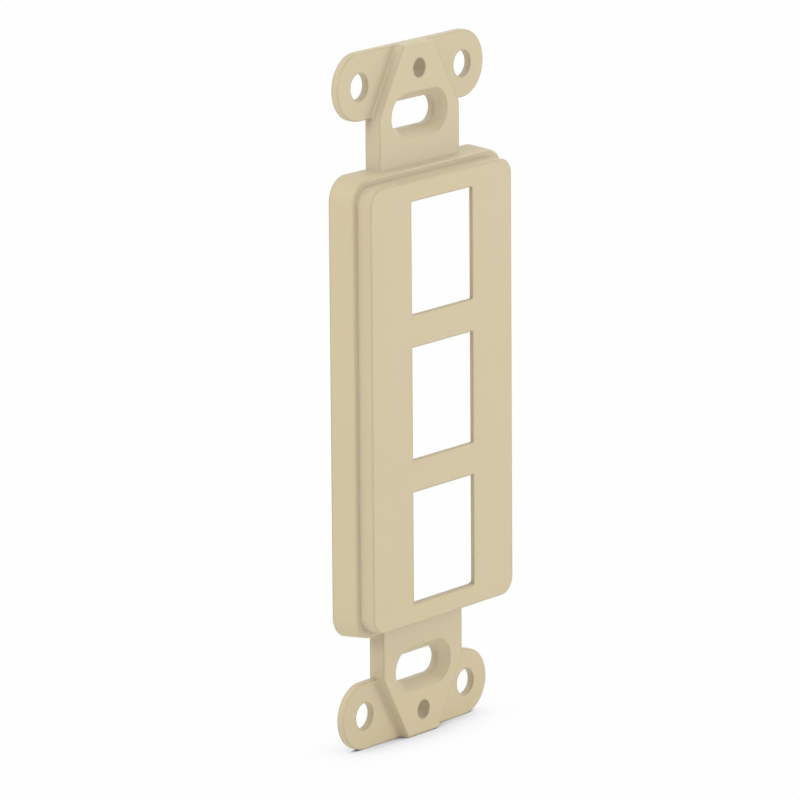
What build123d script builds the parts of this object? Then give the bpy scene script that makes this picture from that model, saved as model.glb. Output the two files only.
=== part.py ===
"""Keystone faceplate: a three-window insert for a designer-style wall plate.

One injection-moulded piece. X runs across the face, Z up its length and Y from front to back.
The plane y = 0 is the back of the mounting strap and of the base's rim, which bear on the wall
box, and the origin is the centre of the part in that plane. The face looks towards -Y.
"""
from build123d import *
from math import radians, tan
import os

# All lengths are in millimetres.

# Face, the raised block that fills the opening of the wall plate
FACE_WIDTH = 33.0
FACE_HEIGHT = 66.3
FACE_RISE = 2.55
FACE_CORNER_RADIUS = 2.6
FACE_EDGE_RADIUS = 0.12
FACE_WALL = 1.6

# Base, the wider block under the face that stops behind the wall plate
LEDGE_WIDTH = 1.0
BASE_DEPTH = 4.2
BASE_DRAFT_DEGREES = 5.0
BASE_CORNER_RADIUS = 3.6
BASE_EDGE_RADIUS = 0.25
BASE_WALL = 1.6

# Strap, with a tip that narrows between the ears
STRAP_WIDTH = 18.6
STRAP_THICKNESS = 2.7
STRAP_EDGE_RADIUS = 0.12
TIP_WIDTH = 7.0
TIP_END_RADIUS = 0.4
TIP_FOOT_RADIUS = 0.3

# Ears, the thin rounded bars that lie on the wall beside the box
EAR_SPAN = 34.1
EAR_HEIGHT = 10.1
EAR_THICKNESS = 1.15
EAR_EDGE_RADIUS = 0.18
EAR_HOLE_DIAMETER = 4.0

# Screw holes: the wall box's two funnel slots and, beyond them, the cover plate's two pilot holes
BOX_SCREW_SPACING = 83.34
SLOT_TO_PILOT = 6.74
PILOT_TO_END = 3.74
PILOT_DIAMETER = 2.8
SLOT_LENGTH = 10.6
SLOT_WIDTH = 4.2
SLOT_LAND = 1.2
FUNNEL_SPREAD = 1.25

# Windows for the keystone jacks
WINDOW_COUNT = 3
WINDOW_WIDTH = 14.3
WINDOW_HEIGHT = 16.8
END_MARGIN = 3.05
LIP_THICKNESS = 0.6
RELIEF_SIDE = 1.4
RELIEF_BELOW = 1.0

# Latch ribs, one above each window, which the jacks snap behind
RIB_THICKNESS = 1.4
LATCH_DEPTH = 9.4
TONGUE_MARGIN = 1.2
LATCH_CHAMFER = 0.5

# Places worked out from the sizes above, as distances in front of the plane y = 0
face_front = BASE_DEPTH + FACE_RISE
face_inside = face_front - FACE_WALL
ledge_inside = BASE_DEPTH - BASE_WALL
lip_back = face_front - LIP_THICKNESS
tongue_reach = LATCH_DEPTH - face_front

# Heights and widths worked out from the sizes above
slot_z = BOX_SCREW_SPACING / 2
pilot_z = slot_z + SLOT_TO_PILOT
half_height = pilot_z + PILOT_TO_END
ear_centre_z = half_height - EAR_HEIGHT / 2
ear_inner_z = half_height - EAR_HEIGHT
ear_hole_x = (EAR_SPAN - EAR_HEIGHT) / 2
base_front_width = FACE_WIDTH + 2 * LEDGE_WIDTH
base_front_height = FACE_HEIGHT + 2 * LEDGE_WIDTH
draft_growth = BASE_DEPTH * tan(radians(BASE_DRAFT_DEGREES))
row_top = FACE_HEIGHT / 2 - END_MARGIN
row_half_height = row_top - WINDOW_HEIGHT / 2
window_pitch = 2 * row_half_height / (WINDOW_COUNT - 1)
window_heights = [row * window_pitch - row_half_height for row in range(WINDOW_COUNT)]

# Distance by which cutters pass a surface and joined forms reach into each other
OVERLAP = 0.4


def at_depth(depth):
    """Plane parallel to the face, this far in front of the back plane, with Z as its up."""
    return Plane.XZ.offset(depth)


def slab(outline, back, front):
    """Outline extruded from one depth to another, both measured in front of the back plane."""
    return extrude(at_depth(back) * outline, amount=front - back)


def through_hole(x, z, diameter, thickness):
    """Cutter for a round hole through a wall that stands on the back plane."""
    return slab(Pos(x, z) * Circle(diameter / 2), -OVERLAP, thickness + OVERLAP)


def rounded_front(solid, radius):
    """Same solid with the edges of its front face rounded."""
    return fillet(solid.faces().sort_by(Axis.Y)[0].edges(), radius)


def base_block():
    """Drafted block that ends in the ledge round the face."""
    outline = RectangleRounded(
        base_front_width + 2 * draft_growth,
        base_front_height + 2 * draft_growth,
        BASE_CORNER_RADIUS,
    )
    block = extrude(at_depth(0) * outline, amount=BASE_DEPTH, taper=BASE_DRAFT_DEGREES)
    return rounded_front(block, BASE_EDGE_RADIUS)


def face_block():
    """Straight-sided block that stands on the ledge."""
    outline = RectangleRounded(FACE_WIDTH, FACE_HEIGHT, FACE_CORNER_RADIUS)
    return rounded_front(slab(outline, ledge_inside, face_front), FACE_EDGE_RADIUS)


def strap():
    """Flat bar along the whole part, narrowed to a tip at each end."""
    side = STRAP_WIDTH / 2
    tip = TIP_WIDTH / 2
    outline = Polygon(
        (-side, -ear_inner_z), (-tip, -half_height), (tip, -half_height), (side, -ear_inner_z),
        (side, ear_inner_z), (tip, half_height), (-tip, half_height), (-side, ear_inner_z),
        align=None,
    )
    bar = slab(outline, 0, STRAP_THICKNESS)
    bar = fillet(bar.edges().filter_by(Axis.X).group_by(Axis.Y)[0], TIP_END_RADIUS)
    sides = bar.faces().sort_by(Axis.Y)[0].edges().filter_by(Axis.X, reverse=True)
    return fillet(sides, STRAP_EDGE_RADIUS)


def ear():
    """Thin bar with round ends that crosses the upper end of the strap."""
    outline = Pos(0, ear_centre_z) * SlotOverall(EAR_SPAN, EAR_HEIGHT)
    bar = rounded_front(slab(outline, 0, EAR_THICKNESS), EAR_EDGE_RADIUS)
    for hole_x in (-ear_hole_x, ear_hole_x):
        bar -= through_hole(hole_x, ear_centre_z, EAR_HOLE_DIAMETER, EAR_THICKNESS)
    return bar


def tip_foot():
    """Concave blend where one sloping side of the upper tip meets the ear."""
    start = Vector(STRAP_WIDTH / 2, -EAR_THICKNESS, ear_inner_z)
    end = Vector(TIP_WIDTH / 2, -EAR_THICKNESS, half_height)
    along = (end - start).normalized()
    outward = Vector(along.Z, 0, -along.X)
    side = TIP_FOOT_RADIUS + OVERLAP
    middle = (TIP_FOOT_RADIUS - OVERLAP) / 2
    profile = Pos(middle, -middle) * Rectangle(side, side)
    profile -= Pos(TIP_FOOT_RADIUS, -TIP_FOOT_RADIUS) * Circle(TIP_FOOT_RADIUS)
    run = Plane(origin=start - along * side, x_dir=outward, z_dir=along) * profile
    blend = extrude(run, amount=(end - start).length + 2 * side)
    band = Pos(0, ear_centre_z) * Rectangle(EAR_SPAN, EAR_HEIGHT)
    return blend & slab(band, 0, STRAP_THICKNESS)


def box_screw_slot():
    """Upper slot: a straight land at the back that opens into a funnel for the screw's head."""
    narrow = Pos(0, slot_z) * SlotOverall(SLOT_LENGTH, SLOT_WIDTH)
    wide = Pos(0, slot_z) * SlotOverall(
        SLOT_LENGTH + 2 * FUNNEL_SPREAD, SLOT_WIDTH + 2 * FUNNEL_SPREAD
    )
    land = slab(narrow, -OVERLAP, SLOT_LAND)
    funnel = loft([at_depth(SLOT_LAND) * narrow, at_depth(STRAP_THICKNESS) * wide], ruled=True)
    mouth = slab(wide, STRAP_THICKNESS, STRAP_THICKNESS + OVERLAP)
    return land + funnel + mouth


def cavity():
    """Hollow of the base and face, open at the back, in two steps that leave even walls."""
    wide = RectangleRounded(
        base_front_width - 2 * BASE_WALL,
        base_front_height - 2 * BASE_WALL,
        BASE_CORNER_RADIUS - BASE_WALL,
    )
    deep = RectangleRounded(
        FACE_WIDTH - 2 * FACE_WALL,
        2 * (row_top + RIB_THICKNESS),
        FACE_CORNER_RADIUS - FACE_WALL,
    )
    return slab(wide, -OVERLAP, ledge_inside) + slab(deep, -OVERLAP, face_inside)


def window(centre_z):
    """Opening for one jack: the cut through the lip and the relief behind it."""
    opening = Pos(0, centre_z) * Rectangle(WINDOW_WIDTH, WINDOW_HEIGHT)
    relief = Pos(0, centre_z - RELIEF_BELOW / 2) * Rectangle(
        WINDOW_WIDTH + 2 * RELIEF_SIDE, WINDOW_HEIGHT + RELIEF_BELOW
    )
    cut = slab(opening, face_inside - OVERLAP, face_front + OVERLAP)
    return cut + slab(relief, face_inside - OVERLAP, lip_back)


def latch_rib(centre_z, envelope):
    """Cross rib above one window, with a tongue behind the strap that the jack snaps over."""
    middle_z = centre_z + (WINDOW_HEIGHT + RIB_THICKNESS) / 2
    bar = Pos(0, middle_z) * Rectangle(base_front_width, RIB_THICKNESS)
    tongue = Pos(0, middle_z) * Rectangle(WINDOW_WIDTH + 2 * TONGUE_MARGIN, RIB_THICKNESS)
    rear = slab(tongue, -tongue_reach, face_inside)
    lower_edge = rear.faces().sort_by(Axis.Y)[-1].edges().sort_by(Axis.Z)[0]
    return (slab(bar, 0, face_inside + OVERLAP) & envelope) + chamfer(lower_edge, LATCH_CHAMFER)


def faceplate():
    """Whole moulding."""
    envelope = base_block() + face_block()
    upper = ear() + tip_foot() + mirror(tip_foot(), about=Plane.YZ)
    body = envelope + strap() + upper + mirror(upper, about=Plane.XY)
    body -= cavity()
    for centre_z in window_heights:
        body += latch_rib(centre_z, envelope)
    for centre_z in window_heights:
        body -= window(centre_z)
    slot = box_screw_slot()
    body -= slot + mirror(slot, about=Plane.XY)
    for hole_z in (-pilot_z, pilot_z):
        body -= through_hole(0, hole_z, PILOT_DIAMETER, STRAP_THICKNESS)
    return body


os.makedirs("parts", exist_ok=True)
export_step(faceplate(), "parts/faceplate.step")
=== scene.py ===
"""Keystone faceplate: the moulding with its soft edges and satin finish, in a plain white studio.

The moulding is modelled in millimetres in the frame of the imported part: X across the face, Z up
its length, the front towards -Y and y = 0 at the back of the strap. A last step turns the finished
mesh to metres.
"""

import logging
from collections.abc import Callable, Iterator, Sequence
from contextlib import contextmanager
from dataclasses import dataclass, field
from enum import Enum
from math import atan2, cos, hypot, pi, radians, sin, tan
from typing import Any

import bmesh
import bpy
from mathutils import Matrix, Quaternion, Vector

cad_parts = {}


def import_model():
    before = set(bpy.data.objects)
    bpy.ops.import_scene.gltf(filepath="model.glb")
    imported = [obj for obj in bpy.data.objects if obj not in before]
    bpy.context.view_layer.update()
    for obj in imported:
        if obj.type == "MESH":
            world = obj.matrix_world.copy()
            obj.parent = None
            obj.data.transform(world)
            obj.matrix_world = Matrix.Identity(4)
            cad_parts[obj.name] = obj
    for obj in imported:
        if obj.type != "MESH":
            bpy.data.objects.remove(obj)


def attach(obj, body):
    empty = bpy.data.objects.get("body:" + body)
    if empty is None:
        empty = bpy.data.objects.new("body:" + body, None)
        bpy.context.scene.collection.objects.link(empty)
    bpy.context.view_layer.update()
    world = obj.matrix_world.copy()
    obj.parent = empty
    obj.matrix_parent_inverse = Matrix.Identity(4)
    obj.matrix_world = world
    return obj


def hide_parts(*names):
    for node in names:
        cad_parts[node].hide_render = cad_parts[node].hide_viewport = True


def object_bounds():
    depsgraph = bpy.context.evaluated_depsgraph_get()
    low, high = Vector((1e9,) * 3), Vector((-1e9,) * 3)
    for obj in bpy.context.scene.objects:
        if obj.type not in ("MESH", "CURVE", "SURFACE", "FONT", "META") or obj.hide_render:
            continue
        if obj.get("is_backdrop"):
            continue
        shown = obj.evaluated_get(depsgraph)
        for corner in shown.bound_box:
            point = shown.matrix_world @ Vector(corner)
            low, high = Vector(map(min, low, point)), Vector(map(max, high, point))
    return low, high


LOG = logging.getLogger("faceplate")

METRES_PER_MM = 0.001

# Points closer than this are one point, and before a fusing all are rounded to so many digits
WELD_MM = 0.0005
SNAP_DIGITS = 4

# How far cutters pass a surface and joined forms reach into each other
CUT_MARGIN_MM = 0.4

# Strips in a quarter circle, in a whole one and across the rounding of a front face
ARC_STEPS = 16
CIRCLE_STEPS = 4 * ARC_STEPS
FRONT_ROUNDING_STEPS = 4

# Turn about X that makes an outline face the front and a cylinder run from front to back
TURN_TO_FRONT = radians(90.0)

# Faces that bend less than this at their edge are one flat face
FLAT_ANGLE = radians(0.1)

# Places of a Mix node's colour sockets, which share their names with those of other data
MIX_FIRST = 6
MIX_SECOND = 7
MIX_RESULT = 2

# Strength of the background, just short of full white as in the photograph
BACKGROUND_WHITE = 0.99


class Fusing(Enum):
    """Ways in which a second solid changes a first one."""

    JOIN = "UNION"
    CUT = "DIFFERENCE"
    KEEP_COMMON = "INTERSECT"


class Mirror(Enum):
    """Places for a mirrored copy, by the number of the axis that it is turned on."""

    OTHER_SIDE = 0
    OTHER_END = 2


@dataclass(frozen=True)
class Outline:
    """Rectangle with round corners, as seen from the front, in millimetres."""

    width: float
    height: float
    corner: float = 0.0
    centre_z: float = 0.0


@dataclass(frozen=True)
class Step:
    """One move of an outline: how far it goes to the front, and how far it shrinks on the way.

    A negative advance goes to the back.
    """

    advance: float
    inset: float = 0.0


@contextmanager
def editing(piece: bpy.types.Object) -> Iterator[None]:
    """Keeps one piece alone in edit mode.

    Args:
        piece: the mesh object to edit.
    """
    select_only(piece)
    bpy.ops.object.mode_set(mode="EDIT")
    try:
        yield
    finally:
        bpy.ops.object.mode_set(mode="OBJECT")


def select_only(piece: bpy.types.Object) -> None:
    """Selects one object and no other, and makes it the active one.

    Args:
        piece: the object.
    """
    bpy.ops.object.select_all(action="DESELECT")
    piece.select_set(True)
    bpy.context.view_layer.objects.active = piece


def pick_edges(piece: bpy.types.Object, wanted: Callable[[bmesh.types.BMEdge], bool]) -> int:
    """Selects the edges of a piece in edit mode that pass a test.

    Args:
        piece: the mesh object, already in edit mode.
        wanted: the test, called with each edge.

    Returns:
        How many edges passed.
    """
    bpy.ops.mesh.select_mode(type="EDGE")
    bpy.ops.mesh.select_all(action="DESELECT")
    mesh = bmesh.from_edit_mesh(piece.data)
    picked = [edge for edge in mesh.edges if wanted(edge)]
    for edge in picked:
        edge.select_set(True)
    bmesh.update_edit_mesh(piece.data)
    return len(picked)


def at_depth(edge: bmesh.types.BMEdge, depth: float) -> bool:
    """Says whether an edge lies in the plane that is this far in front of the back plane."""
    return all(abs(vertex.co.y + depth) < WELD_MM for vertex in edge.verts)


def at_height(edge: bmesh.types.BMEdge, height: float) -> bool:
    """Says whether both ends of an edge are at this height."""
    return all(abs(vertex.co.z - height) < WELD_MM for vertex in edge.verts)


def bend_at(edge: bmesh.types.BMEdge) -> float:
    """Angle in radians between the two faces of an edge, or zero at an open one."""
    return edge.calc_face_angle(0.0)


def add_flat(name: str, outline: Outline, depth: float) -> bpy.types.Object:
    """Adds a flat outline that faces the front.

    Args:
        name: name of the new object.
        outline: its form.
        depth: how far it lies in front of the back plane.

    Returns:
        The new mesh object, with one face.
    """
    bpy.ops.object.select_all(action="DESELECT")
    bpy.ops.mesh.primitive_plane_add(
        size=1.0, location=(0.0, -depth, outline.centre_z), rotation=(TURN_TO_FRONT, 0.0, 0.0)
    )
    flat = bpy.context.object
    flat.name = name
    flat.scale = (outline.width, outline.height, 1.0)
    bpy.ops.object.transform_apply(location=True, rotation=True, scale=True)
    if outline.corner > 0.0:
        with editing(flat):
            bpy.ops.mesh.select_all(action="SELECT")
            bpy.ops.mesh.bevel(offset=outline.corner, segments=ARC_STEPS, affect="VERTICES")
            bpy.ops.mesh.select_all(action="SELECT")
            bpy.ops.mesh.remove_doubles(threshold=WELD_MM)
    return flat


def raise_steps(piece: bpy.types.Object, steps: Sequence[Step]) -> None:
    """Turns a flat outline into a closed solid.

    Args:
        piece: object with one face that faces the front.
        steps: the moves of that face, in order.
    """
    with editing(piece):
        bpy.ops.mesh.select_mode(type="FACE")
        bpy.ops.mesh.select_all(action="SELECT")
        for step in steps:
            if step.inset:
                bpy.ops.mesh.inset(thickness=step.inset, depth=step.advance)
            else:
                bpy.ops.mesh.extrude_region_move(
                    TRANSFORM_OT_translate={"value": (0.0, -step.advance, 0.0)}
                )
        if pick_edges(piece, lambda edge: edge.is_boundary):
            bpy.ops.mesh.edge_face_add()
        bpy.ops.mesh.select_all(action="SELECT")
        bpy.ops.mesh.normals_make_consistent(inside=False)


def solid(name: str, outline: Outline, back: float, front: float) -> bpy.types.Object:
    """Adds a straight-sided solid between two depths.

    Args:
        name: name of the new object.
        outline: its section.
        back: depth of its rear face.
        front: depth of its front face.

    Returns:
        The new mesh object.
    """
    block = add_flat(name, outline, back)
    raise_steps(block, [Step(front - back)])
    return block


def drill(name: str, diameter: float, x: float, z: float, front: float) -> bpy.types.Object:
    """Adds the round cutter of a hole that goes through from the back plane.

    Args:
        name: name of the new object.
        diameter: the hole's bore.
        x: place across.
        z: place up.
        front: depth of the surface where the hole comes out.

    Returns:
        The cutter.
    """
    bpy.ops.object.select_all(action="DESELECT")
    bpy.ops.mesh.primitive_cylinder_add(
        vertices=CIRCLE_STEPS,
        radius=diameter / 2,
        depth=front + 2 * CUT_MARGIN_MM,
        location=(x, -front / 2, z),
        rotation=(TURN_TO_FRONT, 0.0, 0.0),
    )
    cutter = bpy.context.object
    cutter.name = name
    bpy.ops.object.transform_apply(location=True, rotation=True, scale=True)
    return cutter


def round_front(piece: bpy.types.Object, depth: float, radius: float) -> None:
    """Rounds the outline of a flat front face.

    Args:
        piece: the solid.
        depth: how far its front lies in front of the back plane.
        radius: size of the rounding.
    """
    with editing(piece):
        pick_edges(piece, lambda edge: at_depth(edge, depth))
        bpy.ops.mesh.bevel(offset=radius, segments=FRONT_ROUNDING_STEPS, affect="EDGES")


def snap(piece: bpy.types.Object) -> None:
    """Rounds every point of a piece to the same fine grid, so that flush faces are level."""
    for vertex in piece.data.vertices:
        vertex.co = [round(value, SNAP_DIGITS) for value in vertex.co]


def fuse(body: bpy.types.Object, other: bpy.types.Object, way: Fusing) -> None:
    """Changes a solid by another one, which is used up.

    Args:
        body: the solid that stays.
        other: the solid that is joined to it, cut from it or kept in common with it.
        way: which of the three.
    """
    snap(body)
    snap(other)
    select_only(body)
    change = body.modifiers.new("fuse", "BOOLEAN")
    change.operation = way.value
    change.solver = "MANIFOLD"
    change.object = other
    bpy.ops.object.modifier_apply(modifier=change.name)
    bpy.data.objects.remove(other)


def mirrored_copy(piece: bpy.types.Object, place: Mirror) -> bpy.types.Object:
    """Copies a piece to the other side of the centre.

    Args:
        piece: the solid to copy.
        place: whether the copy goes to the other side or to the other end.

    Returns:
        The copy, with its own mesh and its faces outwards.
    """
    select_only(piece)
    bpy.ops.object.duplicate()
    copy = bpy.context.object
    copy.scale[place.value] = -1.0
    bpy.ops.object.transform_apply(location=False, rotation=False, scale=True)
    with editing(copy):
        bpy.ops.mesh.select_all(action="SELECT")
        bpy.ops.mesh.normals_make_consistent(inside=False)
    return copy


@dataclass
class Housing:
    """Drafted base with the raised face on it, hollow from behind. Sizes in millimetres."""

    face_width: float = 33.0
    face_height: float = 66.3
    face_rise: float = 2.55
    face_corner: float = 2.6
    face_edge: float = 0.12
    face_wall: float = 1.6
    ledge: float = 1.0
    base_depth: float = 4.2
    base_draft_degrees: float = 5.0
    base_corner: float = 3.6
    base_edge: float = 0.25
    base_wall: float = 1.6

    @property
    def front(self) -> float:
        """Depth of the face."""
        return self.base_depth + self.face_rise

    @property
    def face_inside(self) -> float:
        """Depth of the inner side of the face."""
        return self.front - self.face_wall

    @property
    def ledge_inside(self) -> float:
        """Depth of the inner side of the ledge."""
        return self.base_depth - self.base_wall

    @property
    def base_outline(self) -> Outline:
        """Section of the base at its front, without its round corners."""
        return Outline(self.face_width + 2 * self.ledge, self.face_height + 2 * self.ledge)

    def block(self) -> bpy.types.Object:
        """Builds the outer form.

        Returns:
            Base and face as one solid.
        """
        growth = self.base_depth * tan(radians(self.base_draft_degrees))
        rear = Outline(
            self.base_outline.width + 2 * growth,
            self.base_outline.height + 2 * growth,
            self.base_corner,
        )
        base = add_flat("base", rear, 0.0)
        raise_steps(base, [Step(self.base_depth, growth)])
        round_front(base, self.base_depth, self.base_edge)
        outline = Outline(self.face_width, self.face_height, self.face_corner)
        face = solid("face", outline, self.ledge_inside, self.front)
        round_front(face, self.front, self.face_edge)
        fuse(base, face, Fusing.JOIN)
        return base

    def hollow(self, deep_height: float) -> bpy.types.Object:
        """Builds the cutter of the stepped hollow.

        Args:
            deep_height: height of the part of the hollow that reaches behind the face.

        Returns:
            The cutter.
        """
        wide = Outline(
            self.base_outline.width - 2 * self.base_wall,
            self.base_outline.height - 2 * self.base_wall,
            self.base_corner - self.base_wall,
        )
        deep = Outline(
            self.face_width - 2 * self.face_wall, deep_height, self.face_corner - self.face_wall
        )
        cutter = solid("hollow", wide, -CUT_MARGIN_MM, self.ledge_inside)
        fuse(cutter, solid("deep_hollow", deep, -CUT_MARGIN_MM, self.face_inside), Fusing.JOIN)
        return cutter


@dataclass
class Strap:
    """Flat bar along the whole part, with a sloping tip and two ears at each end."""

    width: float = 18.6
    thickness: float = 2.7
    edge: float = 0.12
    edge_steps: int = 3
    corner_from_degrees: float = 60.0
    tip_width: float = 7.0
    tip_end_rounding: float = 0.4
    tip_end_steps: int = 8
    foot_rounding: float = 0.3
    foot_setback: float = 0.02
    half_length: float = 52.15
    ear_span: float = 34.1
    ear_height: float = 10.1
    ear_thickness: float = 1.15
    ear_edge: float = 0.18
    ear_bore: float = 4.0

    @property
    def ear_inner(self) -> float:
        """Height at which the ears and the tip begin."""
        return self.half_length - self.ear_height

    @property
    def ear_centre(self) -> float:
        """Height of the ears' middle line."""
        return self.half_length - self.ear_height / 2

    def bar(self) -> bpy.types.Object:
        """Builds the bar with its two narrowing tips.

        Returns:
            The bar, with rounded tip ends and rounded front edges.
        """
        bar = add_flat("strap", Outline(self.width, 2 * self.ear_inner), 0.0)
        narrowing = self.tip_width / self.width
        with editing(bar):
            for end in (-1, 1):
                pick_edges(bar, lambda edge: at_height(edge, end * self.ear_inner))
                bpy.ops.mesh.extrude_region_move(
                    TRANSFORM_OT_translate={"value": (0.0, 0.0, end * self.ear_height)}
                )
                bpy.ops.transform.resize(
                    value=(narrowing, 1.0, 1.0), center_override=(0.0, 0.0, 0.0)
                )
            bpy.ops.mesh.select_all(action="SELECT")
            bpy.ops.mesh.dissolve_limited(angle_limit=FLAT_ANGLE)
            bpy.ops.mesh.normals_make_consistent(inside=False)
        raise_steps(bar, [Step(self.thickness)])
        with editing(bar):
            pick_edges(bar, self._is_tip_end)
            bpy.ops.mesh.bevel(
                offset=self.tip_end_rounding, segments=self.tip_end_steps, affect="EDGES"
            )
            pick_edges(bar, self._is_front_side)
            bpy.ops.mesh.bevel(
                offset=self.edge, segments=self.edge_steps, affect="EDGES", loop_slide=False
            )
        return bar

    def _is_tip_end(self, edge: bmesh.types.BMEdge) -> bool:
        """Finds the front edge of each tip's end."""
        at_end = any(at_height(edge, end * self.half_length) for end in (-1, 1))
        return at_end and at_depth(edge, self.thickness)

    def _is_front_side(self, edge: bmesh.types.BMEdge) -> bool:
        """Finds the edges between the bar's front, tip ends included, and its sides.

        Args:
            edge: an edge of the bar.

        Returns:
            Whether it is such an edge.
        """
        if bend_at(edge) < radians(self.corner_from_degrees) or at_depth(edge, 0.0):
            return False
        first, last = (vertex.co for vertex in edge.verts)
        return abs(first.z - last.z) > WELD_MM

    def ear_pair(self) -> bpy.types.Object:
        """Builds the bar with round ends that makes the two upper ears.

        Returns:
            The ears with their holes still to be drilled.
        """
        outline = Outline(
            self.ear_span, self.ear_height, self.ear_height / 2, centre_z=self.ear_centre
        )
        ears = solid("ears", outline, 0.0, self.ear_thickness)
        round_front(ears, self.ear_thickness, self.ear_edge)
        return ears

    def foot(self) -> bpy.types.Object:
        """Builds the concave blend along the right side of the upper tip.

        It is a square rod with a groove of the blend's radius along its outer edge. The rod is
        made upright at the origin, then leant against the tip and cut off level at both ends.

        Returns:
            The blend, cut off just inside the ear's edges.
        """
        rise = self.ear_height
        run = (self.width - self.tip_width) / 2
        lean = atan2(run, rise)
        side = self.foot_rounding + CUT_MARGIN_MM
        middle_x = (self.width + self.tip_width) / 4
        length = hypot(rise, run) + 2 * side
        bpy.ops.object.select_all(action="DESELECT")
        bpy.ops.mesh.primitive_cube_add(size=1.0)
        foot = bpy.context.object
        foot.name = "foot"
        foot.scale = (side, side, length)
        bpy.ops.object.transform_apply(location=False, rotation=False, scale=True)
        shift = self.foot_rounding - side / 2
        foot.location = (shift, -shift, 0.0)
        bpy.ops.object.transform_apply(location=True, rotation=False, scale=False)
        bpy.ops.object.select_all(action="DESELECT")
        bpy.ops.mesh.primitive_cylinder_add(
            vertices=CIRCLE_STEPS,
            radius=self.foot_rounding,
            depth=length + 2 * CUT_MARGIN_MM,
            location=(self.foot_rounding, -self.foot_rounding, 0.0),
        )
        groove = bpy.context.object
        bpy.ops.object.transform_apply(location=True, rotation=False, scale=False)
        fuse(foot, groove, Fusing.CUT)
        foot.rotation_euler = (0.0, -lean, 0.0)
        foot.location = (middle_x, -self.ear_thickness, self.ear_centre)
        select_only(foot)
        bpy.ops.object.transform_apply(location=True, rotation=True, scale=False)
        height = self.ear_height - 2 * self.foot_setback
        band = Outline(self.ear_span, height, centre_z=self.ear_centre)
        fuse(foot, solid("band", band, 0.0, self.thickness), Fusing.KEEP_COMMON)
        return foot

    def ear_drills(self) -> list[bpy.types.Object]:
        """Builds the cutters of the two holes in the upper ears.

        Returns:
            The two cutters.
        """
        reach = (self.ear_span - self.ear_height) / 2
        return [
            drill("ear_bore", self.ear_bore, side * reach, self.ear_centre, self.ear_thickness)
            for side in (-1, 1)
        ]


@dataclass
class ScrewHoles:
    """Funnel slots for the wall box's screws and pilot holes for the cover plate's."""

    slot_spacing: float = 83.34
    slot_length: float = 10.6
    slot_width: float = 4.2
    land: float = 1.2
    spread: float = 1.25
    pilot_spacing: float = 96.82
    pilot_bore: float = 2.8

    def slot(self, thickness: float) -> bpy.types.Object:
        """Builds the cutter of the upper slot.

        Args:
            thickness: thickness of the strap.

        Returns:
            A funnel that narrows to a straight land at the back.
        """
        height = self.slot_width + 2 * self.spread
        mouth = Outline(
            self.slot_length + 2 * self.spread, height, height / 2, centre_z=self.slot_spacing / 2
        )
        cutter = add_flat("slot", mouth, thickness + CUT_MARGIN_MM)
        raise_steps(
            cutter,
            [
                Step(-CUT_MARGIN_MM),
                Step(self.land - thickness, self.spread),
                Step(-self.land - CUT_MARGIN_MM),
            ],
        )
        return cutter

    def pilot(self, thickness: float) -> bpy.types.Object:
        """Builds the cutter of the upper pilot hole in a strap of this thickness."""
        return drill("pilot", self.pilot_bore, 0.0, self.pilot_spacing / 2, thickness)


@dataclass
class JackWindows:
    """Row of openings for the jacks, each with a thin lip and a latch rib above it."""

    count: int = 3
    width: float = 14.3
    height: float = 16.8
    end_margin: float = 3.05
    lip: float = 0.6
    relief_side: float = 1.4
    relief_below: float = 1.0
    rib: float = 1.4
    latch_depth: float = 9.4
    tongue_margin: float = 1.2
    latch_chamfer: float = 0.5

    def centres(self, face_height: float) -> list[float]:
        """Heights of the windows' centres, spread evenly between the two end margins.

        Args:
            face_height: height of the face that the row is in.

        Returns:
            The heights, from the lowest window up.
        """
        top = face_height / 2 - self.end_margin - self.height / 2
        pitch = 2 * top / (self.count - 1)
        return [row * pitch - top for row in range(self.count)]

    def deep_height(self, face_height: float) -> float:
        """Height of the deep hollow, which takes in the row and the rib above it."""
        return face_height - 2 * (self.end_margin - self.rib)

    def cutter(self, centre: float, housing: Housing) -> bpy.types.Object:
        """Builds the cutter of one window.

        Args:
            centre: height of its centre.
            housing: the housing that it opens.

        Returns:
            The opening with the wider relief behind its lip.
        """
        behind = housing.face_inside - CUT_MARGIN_MM
        opening = Outline(self.width, self.height, centre_z=centre)
        relief = Outline(
            self.width + 2 * self.relief_side,
            self.height + self.relief_below,
            centre_z=centre - self.relief_below / 2,
        )
        cut = solid("window", opening, behind, housing.front + CUT_MARGIN_MM)
        fuse(cut, solid("relief", relief, behind, housing.front - self.lip), Fusing.JOIN)
        return cut

    def latch_rib(self, centre: float, housing: Housing) -> bpy.types.Object:
        """Builds the rib above one window, whose ends reach half-way into the side walls.

        Args:
            centre: height of the window's centre.
            housing: the housing whose side walls hold the rib.

        Returns:
            The rib with the tongue that the jack snaps over.
        """
        middle = centre + (self.height + self.rib) / 2
        lower = middle - self.rib / 2
        shallow = Outline(
            housing.base_outline.width - housing.base_wall, self.rib, centre_z=middle
        )
        deep = Outline(housing.face_width - housing.face_wall, self.rib, centre_z=middle)
        tongue = Outline(self.width + 2 * self.tongue_margin, self.rib, centre_z=middle)
        reach = self.latch_depth - housing.front
        rear = solid("tongue", tongue, -reach, housing.face_inside)
        with editing(rear):
            pick_edges(rear, lambda edge: at_depth(edge, -reach) and at_height(edge, lower))
            bpy.ops.mesh.bevel(offset=self.latch_chamfer, segments=1, affect="EDGES")
        bar = solid("rib", shallow, 0.0, housing.ledge_inside + CUT_MARGIN_MM)
        fuse(bar, solid("rib_front", deep, 0.0, housing.face_inside + CUT_MARGIN_MM), Fusing.JOIN)
        fuse(bar, rear, Fusing.JOIN)
        return bar


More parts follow.
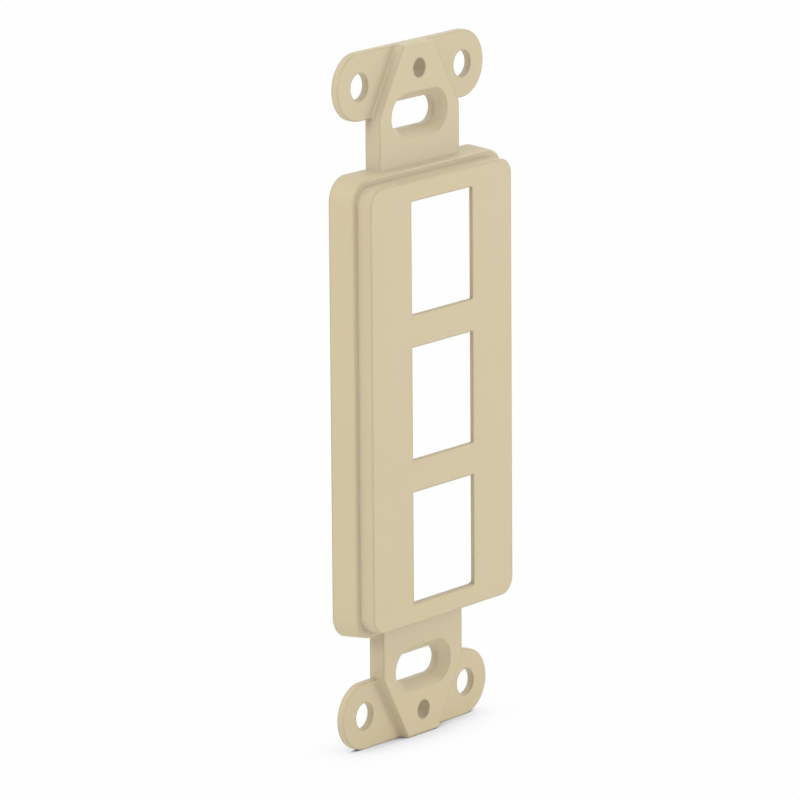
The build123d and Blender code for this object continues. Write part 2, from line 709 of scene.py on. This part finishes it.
def add_node(
    tree: bpy.types.NodeTree,
    kind: str,
    settings: dict[str, Any] | None = None,
    inputs: dict[str | int, Any] | None = None,
) -> bpy.types.Node:
    """Adds a shader node with its settings, values and links.

    Args:
        tree: the material's or world's node tree.
        kind: Blender's name of the node type.
        settings: properties of the node itself.
        inputs: values, or output sockets to link, by the input's name or place.

    Returns:
        The new node.
    """
    node = tree.nodes.new(kind)
    for name, value in (settings or {}).items():
        setattr(node, name, value)
    for name, value in (inputs or {}).items():
        if isinstance(value, bpy.types.NodeSocket):
            tree.links.new(value, node.inputs[name])
        else:
            node.inputs[name].default_value = value
    return node


def linear(hex_colour: str) -> tuple[float, float, float, float]:
    """Linear colour of an sRGB hex value, by the curve of that standard.

    Args:
        hex_colour: six hex digits after a hash.

    Returns:
        Red, green, blue and an alpha of one.
    """
    channels = (int(hex_colour[place : place + 2], 16) / 255 for place in (1, 3, 5))
    red, green, blue = (
        c / 12.92 if c <= 0.04045 else ((c + 0.055) / 1.055) ** 2.4 for c in channels
    )
    return red, green, blue, 1.0


def background_rays(tree: bpy.types.NodeTree) -> bpy.types.NodeSocket:
    """Adds a value that is one or more for the rays that show the white background.

    Args:
        tree: the node tree of the world or the floor.

    Returns:
        The output with the value, which is zero for all other rays.
    """
    path = add_node(tree, "ShaderNodeLightPath")
    rays = path.outputs["Is Camera Ray"]
    for kind in ("Is Glossy Ray", "Is Transmission Ray"):
        both = add_node(
            tree, "ShaderNodeMath", {"operation": "ADD"}, {0: rays, 1: path.outputs[kind]}
        )
        rays = both.outputs["Value"]
    return rays


@dataclass(frozen=True)
class PaintedCornerShade:
    """Painted shade near a corner, as far as this reach and this strong.

    It is painted in inner corners, where other surfaces stand close, or else as a dark line along
    outer edges. It is at its strongest where this share of the surroundings, or less, is open.
    """

    reach_mm: float
    depth: float
    # Colour that the painted shade mixes towards
    colour: str = "#A09FA4"
    full_at: float = 0.6
    outer: bool = False


@dataclass(frozen=True)
class Pattern:
    """Soft noise whose blobs are about so many millimetres across, with so much finer detail."""

    size_mm: float
    detail: float


@dataclass(frozen=True)
class MouldedAbs:
    """Ivory ABS straight from the mould.

    The fine spark-eroded texture of the cavity scatters the light, so that the gloss is satin and
    wide. Shade is painted into the colour: a thin dark line in sharp inner corners, a painted dark
    line along outer edges, and a faint, cooler painted shade in holes and funnels. The melt's flow
    leaves broad and very faint clouds in the colour, and shrinkage leaves the faces a little wavy.
    """

    name: str = "moulded_ivory_abs"
    colour: str = "#DACBA6"
    flow_colour: str = "#D6C7A1"
    refraction: float = 1.54
    roughness_low: float = 0.40
    roughness_high: float = 0.50
    flow: Pattern = Pattern(18.0, 2.0)
    # The cavity's real grain is under 0.1 mm, too fine to show, so it is drawn coarser
    grain: Pattern = Pattern(0.30, 3.0)
    grain_height_mm: float = 0.004
    waviness: Pattern = Pattern(7.0, 1.0)
    waviness_height_mm: float = 0.012
    # Painted shade, darkening the colour where other surfaces stand close or along outer edges
    painted_shades: tuple[PaintedCornerShade, ...] = (
        # Painted shade line in sharp inner corners
        PaintedCornerShade(0.5, 0.13),
        # Faint, cooler painted shade in holes and funnels
        PaintedCornerShade(8.0, 0.18, colour="#B4B4C8"),
        # Painted dark line along outer edges
        PaintedCornerShade(0.30, 0.45, colour="#8F7F60", outer=True),
    )
    painted_shade_samples: int = 8

    def build(self) -> bpy.types.Material:
        """Builds the material.

        Returns:
            The material, with every pattern on object coordinates.
        """
        material = bpy.data.materials.new(self.name)
        material.use_nodes = True
        tree = material.node_tree
        tree.nodes.clear()
        place = add_node(tree, "ShaderNodeTexCoord").outputs["Object"]
        flow, grain, wave = (
            add_node(
                tree,
                "ShaderNodeTexNoise",
                inputs={
                    "Vector": place,
                    "Scale": 1.0 / (pattern.size_mm * METRES_PER_MM),
                    "Detail": pattern.detail,
                },
            ).outputs["Fac"]
            for pattern in (self.flow, self.grain, self.waviness)
        )
        colour = self._colour_with_painted_shade(tree, flow)
        satin = add_node(
            tree,
            "ShaderNodeMapRange",
            inputs={"Value": grain, "To Min": self.roughness_low, "To Max": self.roughness_high},
        )
        waves = add_node(
            tree,
            "ShaderNodeBump",
            inputs={"Height": wave, "Distance": self.waviness_height_mm * METRES_PER_MM},
        )
        texture = add_node(
            tree,
            "ShaderNodeBump",
            inputs={
                "Height": grain,
                "Distance": self.grain_height_mm * METRES_PER_MM,
                "Normal": waves.outputs["Normal"],
            },
        )
        resin = add_node(
            tree,
            "ShaderNodeBsdfPrincipled",
            inputs={
                "Base Color": colour,
                "Roughness": satin.outputs["Result"],
                "Normal": texture.outputs["Normal"],
                "IOR": self.refraction,
            },
        )
        add_node(tree, "ShaderNodeOutputMaterial", inputs={"Surface": resin.outputs["BSDF"]})
        return material

    def _colour_with_painted_shade(
        self, tree: bpy.types.NodeTree, flow: bpy.types.NodeSocket
    ) -> bpy.types.NodeSocket:
        """Adds the resin's colour with painted shade in corners and hollows and along outer edges.

        Args:
            tree: the material's node tree.
            flow: the clouds that the melt's flow left.

        Returns:
            The output with the colour.
        """
        tint = add_node(
            tree,
            "ShaderNodeMix",
            {"data_type": "RGBA"},
            {
                "Factor": flow,
                MIX_FIRST: linear(self.colour),
                MIX_SECOND: linear(self.flow_colour),
            },
        ).outputs[MIX_RESULT]
        # Each pass paints shade into the colour where little of the surroundings is open
        for tone in self.painted_shades:
            openness = add_node(
                tree,
                "ShaderNodeAmbientOcclusion",
                {"only_local": True, "inside": tone.outer, "samples": self.painted_shade_samples},
                {"Distance": tone.reach_mm * METRES_PER_MM},
            )
            share = add_node(
                tree,
                "ShaderNodeMapRange",
                inputs={
                    "Value": openness.outputs["AO"],
                    "From Min": 1.0,
                    "From Max": tone.full_at,
                    "To Max": tone.depth,
                },
            )
            tint = add_node(
                tree,
                "ShaderNodeMix",
                {"data_type": "RGBA"},
                {
                    "Factor": share.outputs["Result"],
                    MIX_FIRST: tint,
                    MIX_SECOND: linear(tone.colour),
                },
            ).outputs[MIX_RESULT]
        return tint


@dataclass
class Faceplate:
    """The whole moulding, which is one piece."""

    housing: Housing = field(default_factory=Housing)
    strap: Strap = field(default_factory=Strap)
    holes: ScrewHoles = field(default_factory=ScrewHoles)
    windows: JackWindows = field(default_factory=JackWindows)
    finish: MouldedAbs = field(default_factory=MouldedAbs)
    soft_edge: float = 0.06
    soft_edge_steps: int = 2
    soft_from_degrees: float = 35.0
    smooth_to_degrees: float = 50.0

    def build(self) -> bpy.types.Object:
        """Builds the moulding and puts its finish on.

        Returns:
            The finished piece, in metres.
        """
        body = self.housing.block()
        self._add_strap(body)
        self._open_housing(body)
        self._cut_screw_holes(body)
        self._soften(body)
        self._add_feet(body)
        self._smooth(body)
        self._shrink_to_metres(body)
        body.data.materials.clear()
        body.data.materials.append(self.finish.build())
        return body

    def _add_strap(self, body: bpy.types.Object) -> None:
        """Joins the strap and the ears to the housing.

        Args:
            body: the housing's outer form.
        """
        upper = self.strap.ear_pair()
        lower = mirrored_copy(upper, Mirror.OTHER_END)
        for part in (self.strap.bar(), upper, lower):
            fuse(body, part, Fusing.JOIN)

    def _open_housing(self, body: bpy.types.Object) -> None:
        """Hollows the housing and gives it its ribs and windows.

        Args:
            body: the outer form with its strap.
        """
        face_height = self.housing.face_height
        fuse(body, self.housing.hollow(self.windows.deep_height(face_height)), Fusing.CUT)
        centres = self.windows.centres(face_height)
        for centre in centres:
            fuse(body, self.windows.latch_rib(centre, self.housing), Fusing.JOIN)
        for centre in centres:
            fuse(body, self.windows.cutter(centre, self.housing), Fusing.CUT)

    def _cut_screw_holes(self, body: bpy.types.Object) -> None:
        """Cuts the slots and drills the holes at both ends.

        Args:
            body: the moulding with its strap and ears.
        """
        upper = [
            self.holes.slot(self.strap.thickness),
            self.holes.pilot(self.strap.thickness),
            *self.strap.ear_drills(),
        ]
        lower = [mirrored_copy(cutter, Mirror.OTHER_END) for cutter in upper]
        for cutter in upper + lower:
            fuse(body, cutter, Fusing.CUT)

    def _soften(self, body: bpy.types.Object) -> None:
        """Takes the sharpness off every edge, as a mould does.

        Args:
            body: the moulding without the blends at its tips.
        """
        with editing(body):
            bpy.ops.mesh.select_all(action="SELECT")
            bpy.ops.mesh.remove_doubles(threshold=WELD_MM)
            bpy.ops.mesh.dissolve_limited(angle_limit=FLAT_ANGLE)
        with editing(body):
            pick_edges(body, self._is_sharp)
            bpy.ops.mesh.bevel(
                offset=self.soft_edge,
                segments=self.soft_edge_steps,
                affect="EDGES",
                loop_slide=False,
            )

    def _is_sharp(self, edge: bmesh.types.BMEdge) -> bool:
        """Finds the sharp edges, but not the feet of the tips nor the corners where they start.

        Args:
            edge: an edge of the moulding.

        Returns:
            Whether it is to be softened.
        """
        if bend_at(edge) < radians(self.soft_from_degrees):
            return False
        inner = self.strap.ear_inner - WELD_MM
        if not edge.is_convex and all(abs(v.co.z) > inner for v in edge.verts):
            return False
        if edge.calc_length() > self.strap.ear_thickness:
            return True
        side = self.strap.width / 2
        return not any(
            hypot(abs(v.co.x) - side, abs(v.co.z) - self.strap.ear_inner) < self.strap.ear_edge
            for v in edge.verts
        )

    def _add_feet(self, body: bpy.types.Object) -> None:
        """Joins the concave blends along both sides of both tips.

        Args:
            body: the softened moulding.
        """
        foot = self.strap.foot()
        other = mirrored_copy(foot, Mirror.OTHER_SIDE)
        lower = [mirrored_copy(piece, Mirror.OTHER_END) for piece in (foot, other)]
        for piece in (foot, other, *lower):
            fuse(body, piece, Fusing.JOIN)

    def _smooth(self, body: bpy.types.Object) -> None:
        """Shades rounded places smoothly and keeps the large faces flat.

        Args:
            body: the finished form.
        """
        select_only(body)
        bpy.ops.object.shade_smooth_by_angle(angle=radians(self.smooth_to_degrees))
        normals = body.modifiers.new("face_normals", "WEIGHTED_NORMAL")
        normals.keep_sharp = True
        bpy.ops.object.modifier_apply(modifier=normals.name)

    def _shrink_to_metres(self, body: bpy.types.Object) -> None:
        """Turns the mesh from millimetres to metres about the origin.

        Args:
            body: the finished form.
        """
        select_only(body)
        body.scale = (METRES_PER_MM,) * 3
        bpy.ops.object.transform_apply(location=False, rotation=False, scale=True)


@dataclass(frozen=True)
class Softbox:
    """Square lamp turned to the object. Azimuth 0 is in front of the face, 90 to its right.

    The strength is the light that falls on a surface at the origin which faces the lamp, in the
    unit of a sun lamp. Distance and size are in metres.
    """

    name: str
    azimuth_degrees: float
    elevation_degrees: float
    strength: float
    distance: float = 1.2
    size: float = 0.65


@dataclass(frozen=True)
class MattPaper:
    """White matt paper under the part.

    It lights the part as matt paper does, with a faint glow. To look at, it is as plain a white as
    the surround, but for the shadow under and round the part. The shadow levels give how white it
    looks for how open it lies, from wholly covered to wholly open.
    """

    name: str = "white_matt_paper"
    colour: str = "#F2F2F2"
    glow: float = 0.02
    shadow_reach_mm: float = 8.0
    shadow_samples: int = 6
    shadow_levels: tuple[tuple[float, float], ...] = (
        (0.0, 0.0),
        (0.25, 0.14),
        (0.42, 0.77),
        (0.80, 0.97),
        (1.0, 1.0),
    )

    def build(self) -> bpy.types.Material:
        """Builds the material.

        Returns:
            The material.
        """
        material = bpy.data.materials.new(self.name)
        material.use_nodes = True
        tree = material.node_tree
        tree.nodes.clear()
        paper = add_node(tree, "ShaderNodeBsdfDiffuse", inputs={"Color": linear(self.colour)})
        glow = add_node(tree, "ShaderNodeEmission", inputs={"Strength": self.glow})
        lit = add_node(
            tree,
            "ShaderNodeAddShader",
            inputs={0: paper.outputs["BSDF"], 1: glow.outputs["Emission"]},
        )
        openness = add_node(
            tree,
            "ShaderNodeAmbientOcclusion",
            {"samples": self.shadow_samples},
            {"Distance": self.shadow_reach_mm * METRES_PER_MM},
        )
        shade = add_node(tree, "ShaderNodeValToRGB", inputs={"Fac": openness.outputs["AO"]})
        # A new ramp has its first and its last stop already
        stops = shade.color_ramp.elements
        for place, _ in self.shadow_levels[1:-1]:
            stops.new(place)
        for stop, (_, level) in zip(stops, self.shadow_levels):
            stop.color = (level, level, level, 1.0)
        white = add_node(
            tree,
            "ShaderNodeEmission",
            inputs={"Color": shade.outputs["Color"], "Strength": BACKGROUND_WHITE},
        )
        seen = add_node(
            tree,
            "ShaderNodeMixShader",
            inputs={
                "Fac": background_rays(tree),
                1: lit.outputs["Shader"],
                2: white.outputs["Emission"],
            },
        )
        add_node(tree, "ShaderNodeOutputMaterial", inputs={"Surface": seen.outputs["Shader"]})
        return material


@dataclass
class Studio:
    """White floor and surround with broad soft light, and the photograph's camera.

    Places and sizes are in metres, apart from the camera's lens and sensor.
    """

    floor_z: float
    floor_size: float = 8.0
    floor_finish: MattPaper = field(default_factory=MattPaper)
    sky_strength: float = 0.40
    softboxes: tuple[Softbox, ...] = (
        Softbox("front_softbox", 0.0, 20.0, 0.62),
        Softbox("low_softbox", 35.0, -5.0, 0.50, distance=0.30, size=0.16),
        Softbox("left_softbox", -92.0, 25.0, 0.66, distance=0.60, size=0.20),
        Softbox("left_high_softbox", -92.0, 50.0, 0.46, distance=0.60, size=0.20),
        Softbox("right_softbox", 90.0, 25.0, 0.806),
        Softbox("right_high_softbox", 60.0, 50.0, 0.25),
        Softbox("back_high_softbox", 180.0, 38.0, 0.42),
    )
    camera_azimuth_degrees: float = -51.286
    camera_elevation_degrees: float = 13.097
    camera_roll_degrees: float = -0.427
    camera_distance: float = 0.99915
    camera_target: tuple[float, float, float] = (-0.001722, 0.0, -0.001299)
    camera_lens_mm: float = 305.51
    camera_sensor_mm: float = 36.0

    def build(self) -> None:
        """Builds the surround, the floor, the lamps and the camera."""
        bpy.context.scene.view_settings.view_transform = "Standard"
        self._surround()
        self._floor()
        for softbox in self.softboxes:
            self._light(softbox)
        self._camera()

    @staticmethod
    def _direction(azimuth_degrees: float, elevation_degrees: float) -> Vector:
        """Direction from the object towards a place round it, at azimuth 0 to the front.

        Args:
            azimuth_degrees: turn from the front towards the object's right.
            elevation_degrees: height above the level of the object's centre.

        Returns:
            The direction, of length one.
        """
        azimuth = radians(azimuth_degrees)
        elevation = radians(elevation_degrees)
        return Vector(
            (sin(azimuth) * cos(elevation), -cos(azimuth) * cos(elevation), sin(elevation))
        )

    def _surround(self) -> None:
        """Makes the world white to look at and a plain soft light to the object."""
        world = bpy.data.worlds.new("surround")
        world.use_nodes = True
        bpy.context.scene.world = world
        tree = world.node_tree
        tree.nodes.clear()
        strength = add_node(
            tree,
            "ShaderNodeMapRange",
            inputs={
                "Value": background_rays(tree),
                "To Min": self.sky_strength,
                "To Max": BACKGROUND_WHITE,
            },
        )
        sky = add_node(
            tree,
            "ShaderNodeBackground",
            inputs={"Color": (1.0, 1.0, 1.0, 1.0), "Strength": strength.outputs["Result"]},
        )
        add_node(tree, "ShaderNodeOutputWorld", inputs={"Surface": sky.outputs["Background"]})

    def _floor(self) -> None:
        """Adds the floor that the part stands on."""
        bpy.ops.object.select_all(action="DESELECT")
        bpy.ops.mesh.primitive_plane_add(size=self.floor_size, location=(0.0, 0.0, self.floor_z))
        floor = bpy.context.object
        floor.name = "floor"
        floor.data.materials.append(self.floor_finish.build())
        floor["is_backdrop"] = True

    def _light(self, softbox: Softbox) -> None:
        """Adds one lamp.

        Args:
            softbox: its place, size and strength.
        """
        towards = self._direction(softbox.azimuth_degrees, softbox.elevation_degrees)
        bpy.ops.object.light_add(
            type="AREA",
            location=softbox.distance * towards,
            rotation=towards.to_track_quat("Z", "Y").to_euler(),
        )
        lamp = bpy.context.object
        lamp.name = softbox.name
        lamp.visible_camera = False
        lamp.data.shape = "SQUARE"
        lamp.data.size = softbox.size
        lamp.data.energy = pi * softbox.distance**2 * softbox.strength

    def _camera(self) -> None:
        """Adds the camera where the photograph was taken from."""
        back = self._direction(self.camera_azimuth_degrees, self.camera_elevation_degrees)
        roll = Quaternion(back, radians(self.camera_roll_degrees))
        turn = roll @ back.to_track_quat("Z", "Y")
        place = Vector(self.camera_target) + self.camera_distance * back
        bpy.ops.object.camera_add(location=place, rotation=turn.to_euler())
        camera = bpy.context.object
        camera.name = "photo_camera"
        camera.data.lens = self.camera_lens_mm
        camera.data.sensor_width = self.camera_sensor_mm
        bpy.context.scene.camera = camera


def main() -> None:
    """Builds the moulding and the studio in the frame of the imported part."""
    logging.basicConfig(level=logging.INFO, format="%(message)s")
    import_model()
    cad_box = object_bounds()
    moulding = Faceplate().build()
    moulding.name = "faceplate_moulding"
    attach(moulding, "root")
    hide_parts("faceplate")
    LOG.info("moulding: %d faces", len(moulding.data.polygons))
    Studio(floor_z=cad_box[0].z).build()


if __name__ == "__main__":
    main()
